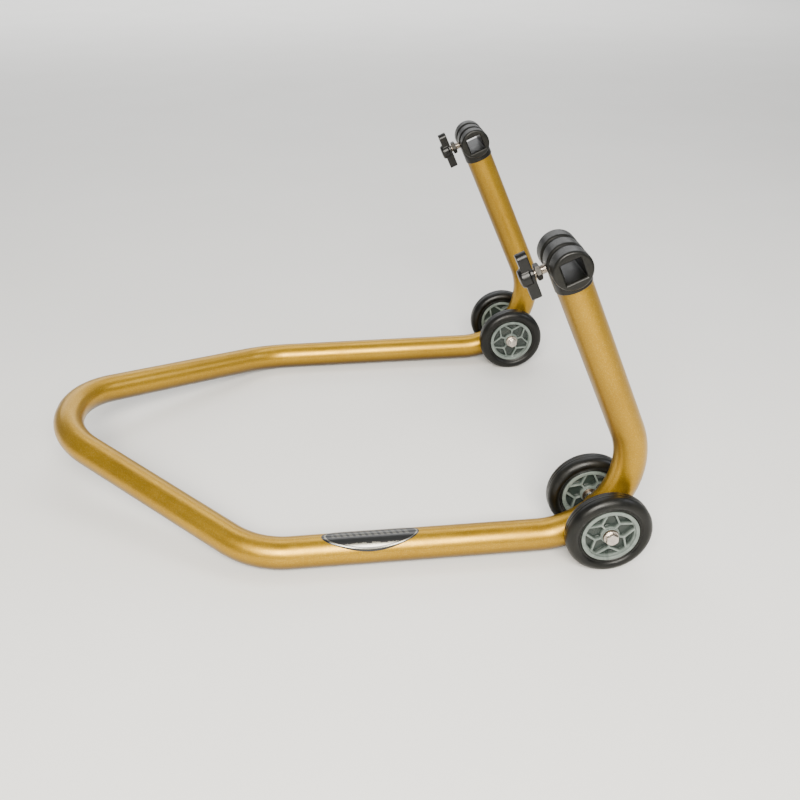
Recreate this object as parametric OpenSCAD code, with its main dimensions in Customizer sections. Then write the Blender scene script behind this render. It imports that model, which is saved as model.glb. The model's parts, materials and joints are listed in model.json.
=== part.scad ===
// Rear paddock stand for a motorcycle: one bent tube on four small wheels, with a
// socket head on each upright for square adaptor bars. Millimetres, +Z up.
// +X runs from the handle to the wheels, the left side is +Y, and the origin is
// on the floor under the middle of the stand.

/* [Frame tube] */
// Outer diameter of the bent tube
tube_d = 38; // [34:0.5:42]
// Wall thickness of the tube
tube_wall = 2.5; // [1.5:0.25:3.5]
// Overall length, handle nose to the front of the wheels
stand_l = 715; // [680:5:760]
// Distance between the two side tubes, centre to centre
side_pitch = 506; // [460:2:540]
// Distance from the wheel axle back to the corner where the handle starts
rail_l = 399; // [370:1:420]
// Height of the rail's centre line at the handle corner
rail_rear_h = 19.1; // [19.1:0.1:21]
// Height of the handle nose's centre line
nose_h = 75; // [50:1:100]
// Distance between the two corners of the handle nose
nose_w = 104; // [102:1:130]
// Bend radius between rail and upright
wheel_bend_r = 100; // [90:1:110]
// Bend radius between rail and handle
handle_bend_r = 109; // [95:1:120]
// Bend radius of the two corners of the nose
nose_bend_r = 103; // [80:1:103]
// Angle by which the uprights lean back towards the handle
lean = 24; // [18:0.5:28]
// Length of the upright, from the lower corner to the head's axis
upright_l = 374; // [350:1:400]

/* [Wheels] */
// Outer diameter of the tyres
wheel_d = 100; // [90:1:104]
// Width of the tyre
tyre_w = 24; // [20:0.5:26]
// Radius of the tyre's round shoulders
shoulder_r = 9; // [5:0.5:9]
// Outer diameter of the moulded hub
hub_d = 67; // [62:0.5:70]
// Width of the hub over its rim
hub_w = 20; // [19:0.5:22]
// Width of the hub over its ribs
rib_depth = 14; // [8:0.5:16]
// Diameter of the hub's boss
boss_d = 20; // [19:0.5:24]
// Width of the hub over its boss
boss_w = 18; // [15:0.5:20]
// Distance from the side tube's centre to the middle of a wheel
wheel_offset = 40; // [38:0.5:46]
// Number of forked spokes in each hub
spokes = 5; // [3:1:7]
// Width of the ribs that form the spokes
rib_w = 2.6; // [2:0.2:4]
// Angle of the first spoke from the level, as seen from outside the right side
spoke_turn = 56.4; // [0:0.1:72]

/* [Axles and bushes] */
// Diameter of the axle bolts
axle_d = 8; // [6:0.5:8]
// Size across the flats of the axle bolt's head and nut
axle_flats = 13; // [11:0.5:13]
// Outer diameter of the washers at both ends of an axle
washer_d = 17; // [15:0.5:20]
// Outer diameter of the steel sleeve that a wheel turns on
journal_d = 12; // [11:0.5:12]
// Outer diameter of the flanged bushes pressed into the hub
wheel_bush_d = 15; // [14:0.5:15.5]
// Diameter of the flange on those bushes
flange_d = 18; // [17:0.5:18.5]
// Outer diameter of the bush welded through the side tube
axle_bush_d = 18; // [14:0.5:20]
// Outer diameter of the spacer sleeves between tube and wheel
spacer_d = 14; // [12:0.5:16]

/* [Socket heads] */
// Length of the head's barrel, across the stand
barrel_l = 68; // [60:1:74]
// Diameter of the barrel over its rings
barrel_d = 41; // [39:0.5:44]
// Width of the two grooves between the three rings
groove_w = 5; // [3:0.5:7]
// Depth of the grooves
groove_depth = 2.5; // [1:0.5:3]
// Rounding of the rings' edges
ring_edge_r = 3; // [1:0.5:3]
// Size across the square socket
socket_w = 21; // [20:0.5:22]
// Width of the bevel round the socket's mouth
mouth_bevel = 1.6; // [1:0.1:2]
// Diameter of the collar that sits on the tube's end
collar_d = 40; // [39:0.5:41]
// Distance from the barrel's axis down to the collar's lower edge
collar_drop = 30; // [28:0.5:34]
// Length of the spigot inside the tube
spigot_l = 34; // [20:1:50]

/* [Clamp screws] */
// Diameter of the clamp screw's stud
stud_d = 10; // [8:0.5:10]
// Distance from the barrel's axis to the jam nut's middle
nut_at = 28.8; // [28.5:0.1:30]
// Distance from the barrel's axis to the knob's near face
knob_at = 33.5; // [32.5:0.5:36]
// Thickness of the knob's wings
knob_t = 11; // [8:0.5:12]
// Length of the knob over both wings
knob_l = 53; // [44:1:56]
// Width of the knob's wings at their tips
wing_w = 13; // [9:0.5:14]
// Diameter of the knob's round hub
knob_hub_d = 20; // [17:0.5:22]

/* [Badge] */
// Length of the oval badge on the right rail
badge_l = 114; // [80:1:130]
// Width of the badge seen from above
badge_w = 35; // [20:1:36]
// Distance from the wheel axle back to the badge's middle
badge_at = 266; // [220:1:290]
// Thickness of the badge
badge_t = 0.4; // [0.3:0.1:0.8]

/* [Hidden] */
$fn = 64;

tube_r = tube_d / 2;
wheel_r = wheel_d / 2;
side_y = side_pitch / 2;

// Left is +1 and right is -1. An outer wheel is on the far side of its tube from
// the stand's middle, an inner wheel on the near side.
LEFT = 1;
RIGHT = -1;
OUTER = 1;
INNER = -1;

// Corners of the tube's centre line in its side plane, as [x, z]. The axle runs
// through the centre line, half way along the quarter turn under the upright.
axle_x = stand_l / 2 - wheel_r;
axle_z = wheel_r;
bend_x = axle_x - wheel_bend_r * cos(45);
rail_front_h = axle_z + wheel_bend_r * (sin(45) - 1);
foot_x = bend_x + wheel_bend_r * tan((90 + lean) / 2);
corner_x = axle_x - rail_l;
nose_x = -stand_l / 2 + tube_r;
head_x = foot_x - upright_l * sin(lean);
head_z = rail_front_h + upright_l * cos(lean);
tube_end_l = upright_l - collar_drop;
tube_end_x = foot_x - tube_end_l * sin(lean);
tube_end_z = rail_front_h + tube_end_l * cos(lean);

function side_corners(side) = [
    [tube_end_x, side * side_y, tube_end_z],
    [foot_x, side * side_y, rail_front_h],
    [corner_x, side * side_y, rail_rear_h],
    [nose_x, side * nose_w / 2, nose_h]
];
function reversed(list) = [for (i = [len(list) - 1 : -1 : 0]) list[i]];
corners = concat(side_corners(RIGHT), reversed(side_corners(LEFT)));
side_radii = [0, wheel_bend_r, handle_bend_r, nose_bend_r];
radii = concat(side_radii, reversed(side_radii));

// How much a bend's wall is thicker than a straight's on each side, and how far a
// straight's end runs into it
bend_swell = 0.05;
bend_grip = 0.5;

function unit(v) = v / norm(v);
function heading(i) = unit(corners[i + 1] - corners[i]);
function turn(i) = acos(heading(i - 1) * heading(i));
// Distance from a corner to where its bend starts
function setback(i) = radii[i] == 0 ? 0 : radii[i] * tan(turn(i) / 2);

// Stack along the axle, measured from the side tube's centre. The journal sleeves
// are a little longer than the wheels on them, so the bolt clamps the sleeves.
axle_bush_half = tube_r + 2;
flange_t = 1;
journal_half = boss_w / 2 + flange_t + 0.3;
journal_in = wheel_offset - journal_half;
journal_out = wheel_offset + journal_half;
washer_t = 1.6;
clamped_half = journal_out + washer_t;
bolt_head_t = 5.3;
nut_t = 6.5;
bolt_end = clamped_half + nut_t + 2;
bolt_gap = 0.1;
journal_gap = 0.05;

// Parts of the hub
rim_t = 4.6;
web_t = 4;
fork_r = 17.5;
fork_reach = 22;
fork_angle = 59;
key_h = 2.4;
key_w = 8;

// Parts of the head and its clamp
barrel_r = barrel_d / 2;
collar_r = collar_d / 2;
ring_w = (barrel_l - 2 * groove_w) / 3;
spigot_gap = 0.1;
spigot_wall = 3.5;
pad_d = 13;
pad_t = 3;
pad_clear = 0.3;
pad_face = socket_w / 2 + 0.3;
insert_d = 14;
insert_start = pad_face + pad_t + pad_clear;
insert_end = barrel_r - 1;
thread_gap = 0.05;
stud_flats = 16;
jam_nut_t = 5.5;
knob_boss_t = 4;
stud_seat = 9;

// ---------- frame ----------

// Places children with their X axis along ex and their Y axis along ey.
module framed(origin, ex, ey) {
    ez = cross(ex, ey);
    multmatrix([
        [ex.x, ey.x, ez.x, origin.x],
        [ex.y, ey.y, ez.y, origin.y],
        [ex.z, ey.z, ez.z, origin.z]
    ]) children();
}

// Section of the tube, with its wall grown by swell on both sides
module tube_section(swell = 0) {
    difference() {
        circle(tube_r + swell);
        circle(tube_r - tube_wall - swell);
    }
}

// Straight stretch from corner i to the next one. Its ends run a little way into
// the walls of the bends.
module straight_stretch(i) {
    from = setback(i) - (radii[i] > 0 ? bend_grip : 0);
    to = setback(i + 1) - (radii[i + 1] > 0 ? bend_grip : 0);
    length = norm(corners[i + 1] - corners[i]) - from - to;
    across = unit(cross(heading(i), [0.3, 0.2, 0.9]));
    framed(corners[i] + heading(i) * from, across, cross(heading(i), across))
        linear_extrude(length) tube_section();
}

// Bend at corner i, an exact arc between the two straight stretches
module bend(i) {
    start = corners[i] - heading(i - 1) * setback(i);
    inward = unit(heading(i) - heading(i - 1) * cos(turn(i)));
    framed(start + inward * radii[i], -inward, heading(i - 1))
        rotate_extrude(angle = turn(i)) translate([radii[i], 0]) tube_section(bend_swell);
}

module frame_tube() {
    color("#b8902f") difference() {
        union() {
            for (i = [0 : len(corners) - 2]) straight_stretch(i);
            for (i = [1 : len(corners) - 2]) bend(i);
        }
        for (side = [LEFT, RIGHT]) at_axle(side) centred_rod(axle_bush_d, 3 * tube_d);
    }
}

// Thin oval label wrapped over the top of the right rail
module rail_badge() {
    fall = atan2(rail_front_h - rail_rear_h, foot_x - corner_x);
    middle_z = rail_rear_h + (rail_l - badge_at) * tan(fall);
    color("#1c1c1c") translate([axle_x - badge_at, -side_y, middle_z]) rotate([0, -fall, 0])
        intersection() {
            rotate([0, 90, 0]) difference() {
                cylinder(r = tube_r + badge_t, h = badge_l, center = true);
                cylinder(r = tube_r, h = badge_l + 2, center = true);
            }
            linear_extrude(tube_d) polygon([for (a = [0 : 7.5 : 359])
                [badge_l / 2 * cos(a), badge_w / 2 * sin(a)]]);
        }
}

// ---------- axles ----------

// Moves children to where the axle crosses a side tube, with +Z along the axle
// and pointing away from the stand's middle.
module at_axle(side) {
    translate([axle_x, side * side_y, axle_z]) rotate([-90 * side, 0, 0])
        children();
}

module centred_rod(d, l) {
    cylinder(d = d, h = l, center = true);
}

module ring(d, bore, from, to) {
    translate([0, 0, from]) difference() {
        cylinder(d = d, h = to - from);
        translate([0, 0, -1]) cylinder(d = bore, h = to - from + 2);
    }
}

module hex(flats, t) {
    cylinder(d = flats / cos(30), h = t, $fn = 6);
}

// Hexagon with its outer corners turned away, as on a bolt head or nut
module turned_hex(flats, t) {
    bevel = 0.6;
    intersection() {
        hex(flats, t);
        union() {
            cylinder(d = flats * 1.16, h = t - bevel);
            translate([0, 0, t - bevel]) cylinder(d1 = flats * 1.16, d2 = flats * 0.96, h = bevel);
        }
    }
}

module axle_bush(side) {
    color("#b8902f") at_axle(side)
        ring(axle_bush_d, axle_d + 2 * bolt_gap, -axle_bush_half, axle_bush_half);
}

module axle_bolt(side) {
    color("silver") at_axle(side) {
        translate([0, 0, -bolt_end]) cylinder(d = axle_d, h = bolt_end + clamped_half);
        translate([0, 0, clamped_half]) turned_hex(axle_flats, bolt_head_t);
    }
}

module axle_nut(side) {
    color("silver") at_axle(side) translate([0, 0, -clamped_half]) rotate([180, 0, 0]) difference() {
        turned_hex(axle_flats, nut_t);
        translate([0, 0, -1]) cylinder(d = axle_d, h = nut_t + 2);
    }
}

module axle_washers(side) {
    color("silver") at_axle(side) for (s = [0, 180]) rotate([s, 0, 0])
        ring(washer_d, axle_d + 4 * bolt_gap, journal_out, clamped_half);
}

module axle_spacers(side) {
    color("gainsboro") at_axle(side) for (s = [0, 180]) rotate([s, 0, 0])
        ring(spacer_d, axle_d + 2 * bolt_gap, axle_bush_half, journal_in);
}

// Steel sleeves that the two wheels of a pair turn on
module journal_sleeves(side) {
    color("darkgrey") at_axle(side) for (s = [0, 180]) rotate([s, 0, 0])
        ring(journal_d, axle_d + 2 * bolt_gap, journal_in, journal_out);
}

// ---------- wheels ----------

module at_wheel(side, place) {
    at_axle(side) translate([0, 0, place * wheel_offset]) children();
}

// Half section of the tyre: a crowned tread with round shoulders, a bevelled side
// wall that meets the hub below its rim, and a groove for the hub's key.
module tyre_section() {
    seat = hub_d / 2;
    half = tyre_w / 2;
    flat = half - shoulder_r;
    shoulder_at = wheel_r - shoulder_r;
    foot = hub_w / 2 - 1.2;
    difference() {
        union() {
            polygon([
                [seat, -foot], [shoulder_at, -half], [shoulder_at, half], [seat, foot]
            ]);
            translate([shoulder_at - 1, -flat]) square([shoulder_r + 1, 2 * flat]);
            for (s = [-1, 1]) translate([shoulder_at, s * flat]) circle(shoulder_r);
        }
        translate([0, -half]) square([seat, tyre_w]);
        translate([seat - 1, -key_w / 2]) square([key_h + 1, key_w]);
    }
}

module tyre(side, place) {
    color("#1f1f1c") at_wheel(side, place) rotate_extrude() tyre_section();
}

// One forked spoke: a rib from the boss to the fork and two ribs on to the rim
module forked_spoke() {
    root = boss_d / 2 - 2;
    translate([root, -rib_w / 2, -rib_depth / 2]) cube([fork_r - root, rib_w, rib_depth]);
    for (s = [-1, 1]) translate([fork_r, 0, -rib_depth / 2]) rotate([0, 0, s * fork_angle])
        translate([-rib_w / 2, -rib_w / 2, 0]) cube([fork_reach, rib_w, rib_depth]);
}

module hub(side, place) {
    web_d = hub_d - rim_t;
    color("#8b8f89") at_wheel(side, place) difference() {
        union() {
            ring(hub_d, hub_d - 2 * rim_t, -hub_w / 2, hub_w / 2);
            ring(hub_d + 2 * key_h, hub_d - 1, -key_w / 2, key_w / 2);
            centred_rod(web_d, web_t);
            centred_rod(boss_d, boss_w);
            intersection() {
                for (i = [0 : spokes - 1]) rotate([0, 0, i * 360 / spokes + spoke_turn]) forked_spoke();
                centred_rod(web_d, hub_w);
            }
        }
        centred_rod(wheel_bush_d, hub_w);
    }
}

// Flanged bushes in both ends of the hub, which run on the journal sleeve
module wheel_bushes(side, place) {
    bore = journal_d + 2 * journal_gap;
    color("#8a6a3a") at_wheel(side, place) for (s = [0, 180]) rotate([s, 0, 0]) {
        ring(wheel_bush_d, bore, 1, boss_w / 2);
        ring(flange_d, bore, boss_w / 2, boss_w / 2 + flange_t);
    }
}

// ---------- heads ----------

// Moves children to the middle of a head's barrel, with +Z up along the upright,
// Y across the stand and -X towards the clamp's knob.
module at_head(side) {
    translate([head_x, side * side_y, head_z]) rotate([0, -lean, 0]) children();
}

// The clamp screw's axis as +Z, starting at the barrel's axis
module at_clamp(side) {
    at_head(side) rotate([0, -90, 0]) children();
}

module ring_section() {
    e = ring_edge_r;
    square([barrel_r - e, ring_w]);
    translate([0, e]) square([barrel_r, ring_w - 2 * e]);
    for (y = [e, ring_w - e]) translate([barrel_r - e, y]) circle(e);
}

module barrel() {
    rotate([90, 0, 0]) {
        centred_rod(2 * (barrel_r - groove_depth), barrel_l - 2 * ring_edge_r);
        for (i = [-1 : 1]) translate([0, 0, i * (ring_w + groove_w) - ring_w / 2])
            rotate_extrude() ring_section();
    }
}

// Square socket right through the barrel, with a bevelled mouth at each end
module socket() {
    half_diagonal = socket_w / 2 * sqrt(2);
    mouth = half_diagonal + mouth_bevel * sqrt(2);
    cube([socket_w, barrel_l + 2, socket_w], center = true);
    for (s = [-90, 90]) rotate([s, 0, 0]) translate([0, 0, barrel_l / 2 - mouth_bevel])
        rotate([0, 0, 45]) cylinder(r1 = half_diagonal, r2 = mouth, h = mouth_bevel + 0.01, $fn = 4);
}

module head(side) {
    spigot_r = tube_r - tube_wall - spigot_gap;
    color("#232421") {
        at_head(side) difference() {
            union() {
                barrel();
                translate([0, 0, -collar_drop]) cylinder(r = collar_r, h = collar_drop);
                translate([0, 0, -collar_drop - spigot_l]) cylinder(r = spigot_r, h = spigot_l + 1);
            }
            socket();
            translate([0, 0, -collar_drop - spigot_l - 1])
                cylinder(r = spigot_r - spigot_wall, h = spigot_l + 6);
            rotate([0, -90, 0]) {
                translate([0, 0, insert_start]) cylinder(d = insert_d, h = barrel_d);
                cylinder(d = pad_d + 2 * pad_clear, h = insert_start + 1);
            }
        }
    }
}

// Steel insert that carries the clamp screw's thread
module thread_insert(side) {
    color("darkgrey") at_clamp(side)
        ring(insert_d, stud_d, insert_start, insert_end);
}

module clamp_pad(side) {
    color("#c8a24a") at_clamp(side) translate([0, 0, pad_face]) cylinder(d = pad_d, h = pad_t);
}

module clamp_stud(side) {
    start = pad_face + pad_t;
    color("silver") at_clamp(side) translate([0, 0, start])
        cylinder(d = stud_d - 2 * thread_gap, h = knob_at + stud_seat - start);
}

module jam_nut(side) {
    color("#2b2a28") at_clamp(side) translate([0, 0, nut_at - jam_nut_t / 2]) difference() {
        turned_hex(stud_flats, jam_nut_t);
        translate([0, 0, -1]) cylinder(d = stud_d - 2 * thread_gap, h = jam_nut_t + 2);
    }
}

// Two flat wings with round ends on a round hub
module clamp_knob(side) {
    wing_reach = (knob_l - wing_w) / 2;
    color("#151515") at_clamp(side) translate([0, 0, knob_at]) difference() {
        union() {
            translate([0, 0, knob_boss_t]) cylinder(d = knob_hub_d, h = knob_t);
            cylinder(d = knob_hub_d - 3, h = knob_boss_t + 1);
            translate([-wing_reach, -wing_w / 2, 0]) cube([2 * wing_reach, wing_w, knob_t]);
            for (s = [-1, 1]) translate([s * wing_reach, 0, 0]) cylinder(d = wing_w, h = knob_t);
        }
        translate([0, 0, -1]) cylinder(d = stud_d - 2 * thread_gap, h = stud_seat + 1);
    }
}

// ---------- nodes ----------

frame_tube();
rail_badge();
axle_bush(LEFT);  // left_axle_bush
axle_bolt(LEFT);  // left_axle_bolt
axle_nut(LEFT);  // left_axle_nut
axle_washers(LEFT);  // left_axle_washers
axle_spacers(LEFT);  // left_axle_spacers
journal_sleeves(LEFT);  // left_journal_sleeves
axle_bush(RIGHT);  // right_axle_bush
axle_bolt(RIGHT);  // right_axle_bolt
axle_nut(RIGHT);  // right_axle_nut
axle_washers(RIGHT);  // right_axle_washers
axle_spacers(RIGHT);  // right_axle_spacers
journal_sleeves(RIGHT);  // right_journal_sleeves
tyre(LEFT, OUTER);  // left_outer_tyre
hub(LEFT, OUTER);  // left_outer_hub
wheel_bushes(LEFT, OUTER);  // left_outer_wheel_bushes
tyre(LEFT, INNER);  // left_inner_tyre
hub(LEFT, INNER);  // left_inner_hub
wheel_bushes(LEFT, INNER);  // left_inner_wheel_bushes
tyre(RIGHT, OUTER);  // right_outer_tyre
hub(RIGHT, OUTER);  // right_outer_hub
wheel_bushes(RIGHT, OUTER);  // right_outer_wheel_bushes
tyre(RIGHT, INNER);  // right_inner_tyre
hub(RIGHT, INNER);  // right_inner_hub
wheel_bushes(RIGHT, INNER);  // right_inner_wheel_bushes
head(LEFT);  // left_head
thread_insert(LEFT);  // left_thread_insert
clamp_pad(LEFT);  // left_clamp_pad
clamp_stud(LEFT);  // left_clamp_stud
jam_nut(LEFT);  // left_jam_nut
clamp_knob(LEFT);  // left_clamp_knob
head(RIGHT);  // right_head
thread_insert(RIGHT);  // right_thread_insert
clamp_pad(RIGHT);  // right_clamp_pad
clamp_stud(RIGHT);  // right_clamp_stud
jam_nut(RIGHT);  // right_jam_nut
clamp_knob(RIGHT);  // right_clamp_knob
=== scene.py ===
import json
import math

import bmesh
import bpy
from mathutils import Matrix, Vector


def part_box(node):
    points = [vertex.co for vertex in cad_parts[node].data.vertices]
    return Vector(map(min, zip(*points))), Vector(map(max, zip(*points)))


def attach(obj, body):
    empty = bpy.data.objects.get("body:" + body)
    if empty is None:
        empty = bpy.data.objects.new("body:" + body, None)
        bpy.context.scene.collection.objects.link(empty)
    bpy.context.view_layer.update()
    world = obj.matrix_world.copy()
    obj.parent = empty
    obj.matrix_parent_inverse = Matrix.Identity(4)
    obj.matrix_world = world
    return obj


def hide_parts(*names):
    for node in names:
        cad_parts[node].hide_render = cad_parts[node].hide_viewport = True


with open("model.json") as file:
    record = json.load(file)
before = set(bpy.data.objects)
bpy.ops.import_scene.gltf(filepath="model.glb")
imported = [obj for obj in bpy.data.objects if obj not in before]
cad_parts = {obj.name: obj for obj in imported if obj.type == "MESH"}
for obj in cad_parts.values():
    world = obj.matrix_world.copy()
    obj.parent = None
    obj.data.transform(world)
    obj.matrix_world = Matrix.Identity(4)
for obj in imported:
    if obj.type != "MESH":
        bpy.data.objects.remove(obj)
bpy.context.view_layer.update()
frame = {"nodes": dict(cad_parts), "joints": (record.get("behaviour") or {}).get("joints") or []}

mm = 0.001
sides = {"left": 1, "right": -1}
joints = {joint["name"]: joint for joint in frame["joints"]}


cameraView = {
    "aim": (0.1033, 0.0, 0.0681),
    "azimuth": -6.37,
    "elevation": 29.65,
    "distance": 1.2172,
    "lens": 39.5,
}

studio = {
    "worldColour": "f2f4f6",
    "worldStrength": 0.5,
    "floorColour": "e9e8e4", "floorCloud": "f1f0ed",
    "floorSize": 40.0,
    # name: (place, aim, watts, width, depth, colour)
    "lamps": {
        "keySoftbox": ((-0.1, -1.8, 1.4), (0, 0, 0.1), 118, 1.5, 0.9, "fffaf0"),
        "topSoftbox": ((0.2, 1.2, 2.4), (0, 0.4, 0), 26, 2.4, 1.0, "ffffff"),
        "sideSoftbox": ((1.7, -0.3, 1.3), (0, 0, 0.1), 8, 0.8, 0.8, "f6f8ff"),
        "backFloorSoftbox": ((-0.5, 6.5, 3.0), (-0.5, 6.6, 0), 420, 9.0, 5.0, "ffffff"),
    },
}


def linear(hexColour):
    channels = [int(hexColour[i:i + 2], 16) / 255 for i in (0, 2, 4)]
    return tuple(c / 12.92 if c <= 0.04045 else ((c + 0.055) / 1.055) ** 2.4 for c in channels) + (1.0,)


def addNode(tree, kind, settings=None, inputs=None):
    # settings are the node's own properties, inputs are values or sockets to link
    node = tree.nodes.new(kind)
    for name, value in (settings or {}).items():
        setattr(node, name, value)
    for name, value in (inputs or {}).items():
        if isinstance(value, bpy.types.NodeSocket):
            tree.links.new(value, node.inputs[name])
        else:
            node.inputs[name].default_value = value
    return node


def newMaterial(name):
    material = bpy.data.materials.new(name)
    material.use_nodes = True
    material.node_tree.nodes.clear()
    tree = material.node_tree
    place = addNode(tree, "ShaderNodeTexCoord").outputs["Object"]
    return material, tree, place


def finishMaterial(tree, shader):
    addNode(tree, "ShaderNodeOutputMaterial", inputs={"Surface": shader.outputs["BSDF"]})


def noise(tree, place, scale, detail=2.0):
    return addNode(tree, "ShaderNodeTexNoise", inputs={
        "Vector": place, "Scale": scale, "Detail": detail,
    }).outputs["Fac"]


def mixed(tree, factor, first, second):
    # Colour between two, each a socket or a hex string
    ends = [linear(c) if isinstance(c, str) else c for c in (first, second)]
    return addNode(tree, "ShaderNodeMix", {"data_type": "RGBA"}, {
        0: factor, 6: ends[0], 7: ends[1],
    }).outputs[2]


def mapped(tree, value, low, high, start, end):
    return addNode(tree, "ShaderNodeMapRange", inputs={
        "Value": value, "From Min": low, "From Max": high, "To Min": start, "To Max": end,
    }).outputs["Result"]


def bumped(tree, height, strength, distance):
    return addNode(tree, "ShaderNodeBump", inputs={
        "Height": height, "Strength": strength, "Distance": distance,
    }).outputs["Normal"]


def makeCamera():
    data = bpy.data.cameras.new("studioCamera")
    data.sensor_width = 36
    data.lens = cameraView["lens"]
    data.clip_start = 0.02
    azimuth, elevation = math.radians(cameraView["azimuth"]), math.radians(cameraView["elevation"])
    back = Vector((
        math.sin(azimuth) * math.cos(elevation),
        -math.cos(azimuth) * math.cos(elevation),
        math.sin(elevation),
    ))
    camera = bpy.data.objects.new("studioCamera", data)
    camera.location = Vector(cameraView["aim"]) + back * cameraView["distance"]
    camera.rotation_euler = (-back).to_track_quat("-Z", "Y").to_euler()
    bpy.context.scene.collection.objects.link(camera)
    bpy.context.scene.camera = camera


def makeStudio():
    world = bpy.data.worlds.new("paleStudio")
    bpy.context.scene.world = world
    world.use_nodes = True
    background = world.node_tree.nodes["Background"]
    background.inputs["Color"].default_value = linear(studio["worldColour"])
    background.inputs["Strength"].default_value = studio["worldStrength"]
    for name, (place, aim, watts, width, depth, colour) in studio["lamps"].items():
        lamp = bpy.data.lights.new(name, "AREA")
        lamp.shape = "RECTANGLE"
        lamp.size, lamp.size_y = width, depth
        lamp.energy = watts
        lamp.color = linear(colour)[:3]
        holder = bpy.data.objects.new(name, lamp)
        holder.location = place
        holder.rotation_euler = (Vector(aim) - Vector(place)).to_track_quat("-Z", "Y").to_euler()
        bpy.context.scene.collection.objects.link(holder)

    # Matt painted board: a faint cloudiness keeps it from looking like a void
    material, tree, place = newMaterial("mattPaintedFloor")
    clouds = noise(tree, place, 3.0, 4.0)
    tint = mixed(tree, clouds, studio["floorColour"], studio["floorCloud"])
    grain = noise(tree, place, 900.0)
    bump = bumped(tree, grain, 0.1, 0.0003)
    shader = addNode(tree, "ShaderNodeBsdfPrincipled", inputs={
        "Base Color": tint, "Roughness": 0.75, "Normal": bump,
    })
    finishMaterial(tree, shader)
    half = studio["floorSize"] / 2
    mesh = bpy.data.meshes.new("floor")
    corners = [(-half, -half, 0), (half, -half, 0), (half, half, 0), (-half, half, 0)]
    mesh.from_pydata(corners, [], [(0, 1, 2, 3)])
    mesh.materials.append(material)
    floor = bpy.data.objects.new("floor", mesh)
    bpy.context.scene.collection.objects.link(floor)


makeCamera()
makeStudio()
print("camera, lights and floor are set")


def pieceFromMesh(name, mesh, material, body, nodes=(), sharp=35):
    # Smooth shading with creases sharper than the given angle kept crisp
    if not mesh.materials:
        mesh.materials.append(material)
    mesh.set_sharp_from_angle(angle=math.radians(sharp))
    piece = bpy.data.objects.new(name, mesh)
    bpy.context.scene.collection.objects.link(piece)
    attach(piece, body)
    if nodes:
        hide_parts(*nodes)


def meshFromBmesh(name, shape):
    mesh = bpy.data.meshes.new(name)
    shape.to_mesh(mesh)
    shape.free()
    return mesh


def bakedMesh(holder, name):
    # The holder's mesh with all its modifiers worked in, as one plain mesh
    graph = bpy.context.evaluated_depsgraph_get()
    mesh = bpy.data.meshes.new_from_object(holder.evaluated_get(graph))
    mesh.name = name
    bpy.data.objects.remove(holder)
    return mesh


def holderFor(mesh):
    holder = bpy.data.objects.new(mesh.name, mesh)
    bpy.context.scene.collection.objects.link(holder)
    return holder


def frameMatrix(origin, along, up):
    # Local Z runs along the first direction and local Y close to the second
    zAxis = Vector(along).normalized()
    xAxis = Vector(up).cross(zAxis).normalized()
    yAxis = zAxis.cross(xAxis)
    turned = Matrix((xAxis, yAxis, zAxis)).transposed().to_4x4()
    return Matrix.Translation(Vector(origin)) @ turned


def arc(centre, radius, start, end, steps):
    angles = [math.radians(start + (end - start) * i / steps) for i in range(steps + 1)]
    return [(centre[0] + radius * math.cos(a), centre[1] + radius * math.sin(a)) for a in angles]


def joinRings(shape, low, high, smooth=True):
    # Faces between two rings of vertices, either of which may be a single pole
    count = max(len(low), len(high))
    for k in range(count if count > 1 else 0):
        n = (k + 1) % count
        corners = [low[k % len(low)], low[n % len(low)], high[n % len(high)], high[k % len(high)]]
        shape.faces.new([v for i, v in enumerate(corners) if v not in corners[:i]]).smooth = smooth


def smoothAll(mesh):
    for polygon in mesh.polygons:
        polygon.use_smooth = True


def keepNode(name, material):
    # A plain turned piece stays as modelled and only gets its finish
    mesh = frame["nodes"][name].data
    mesh.materials.clear()
    mesh.materials.append(material)


def revolveInto(shape, outline, segments, closed=True):
    # Turns an outline of (radius, height) points round local Z. A point on the axis becomes a pole.
    rings = []
    for radius, height in outline:
        if radius < 1e-7:
            rings.append([shape.verts.new((0, 0, height))])
        else:
            rings.append([
                shape.verts.new((
                    radius * math.cos(2 * math.pi * k / segments),
                    radius * math.sin(2 * math.pi * k / segments),
                    height,
                ))
                for k in range(segments)
            ])
    pairs = list(zip(rings, rings[1:])) + ([(rings[-1], rings[0])] if closed else [])
    for low, high in pairs:
        joinRings(shape, low, high)


def roundedRing(inner, outer, low, high, edge, steps=3):
    # Outline of a ring's section with all four corners rounded, run so that faces point outwards
    return (
        arc((outer - edge, low + edge), edge, -90, 0, steps)
        + arc((outer - edge, high - edge), edge, 0, 90, steps)
        + arc((inner + edge, high - edge), edge, 90, 180, steps)
        + arc((inner + edge, low + edge), edge, 180, 270, steps)
    )


def outward(shape):
    bmesh.ops.recalc_face_normals(shape, faces=shape.faces[:])


print("mesh tools are ready")


goldPaint = {
    "base": "b88e1a", "deep": "9a720b", "light": "e2c25a",
    "metallic": 0.88, "roughness": 0.36, "coat": 0.25, "coatRoughness": 0.25,
    # The darkest colour on the next line is painted shade for surfaces facing down; the scuffed one is real
    # wear
    "grime": "3d2b08", "scuffed": "5f5340",
    "flakeSize": 0.8 * mm, "peelSize": 2.6 * mm,
}


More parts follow.
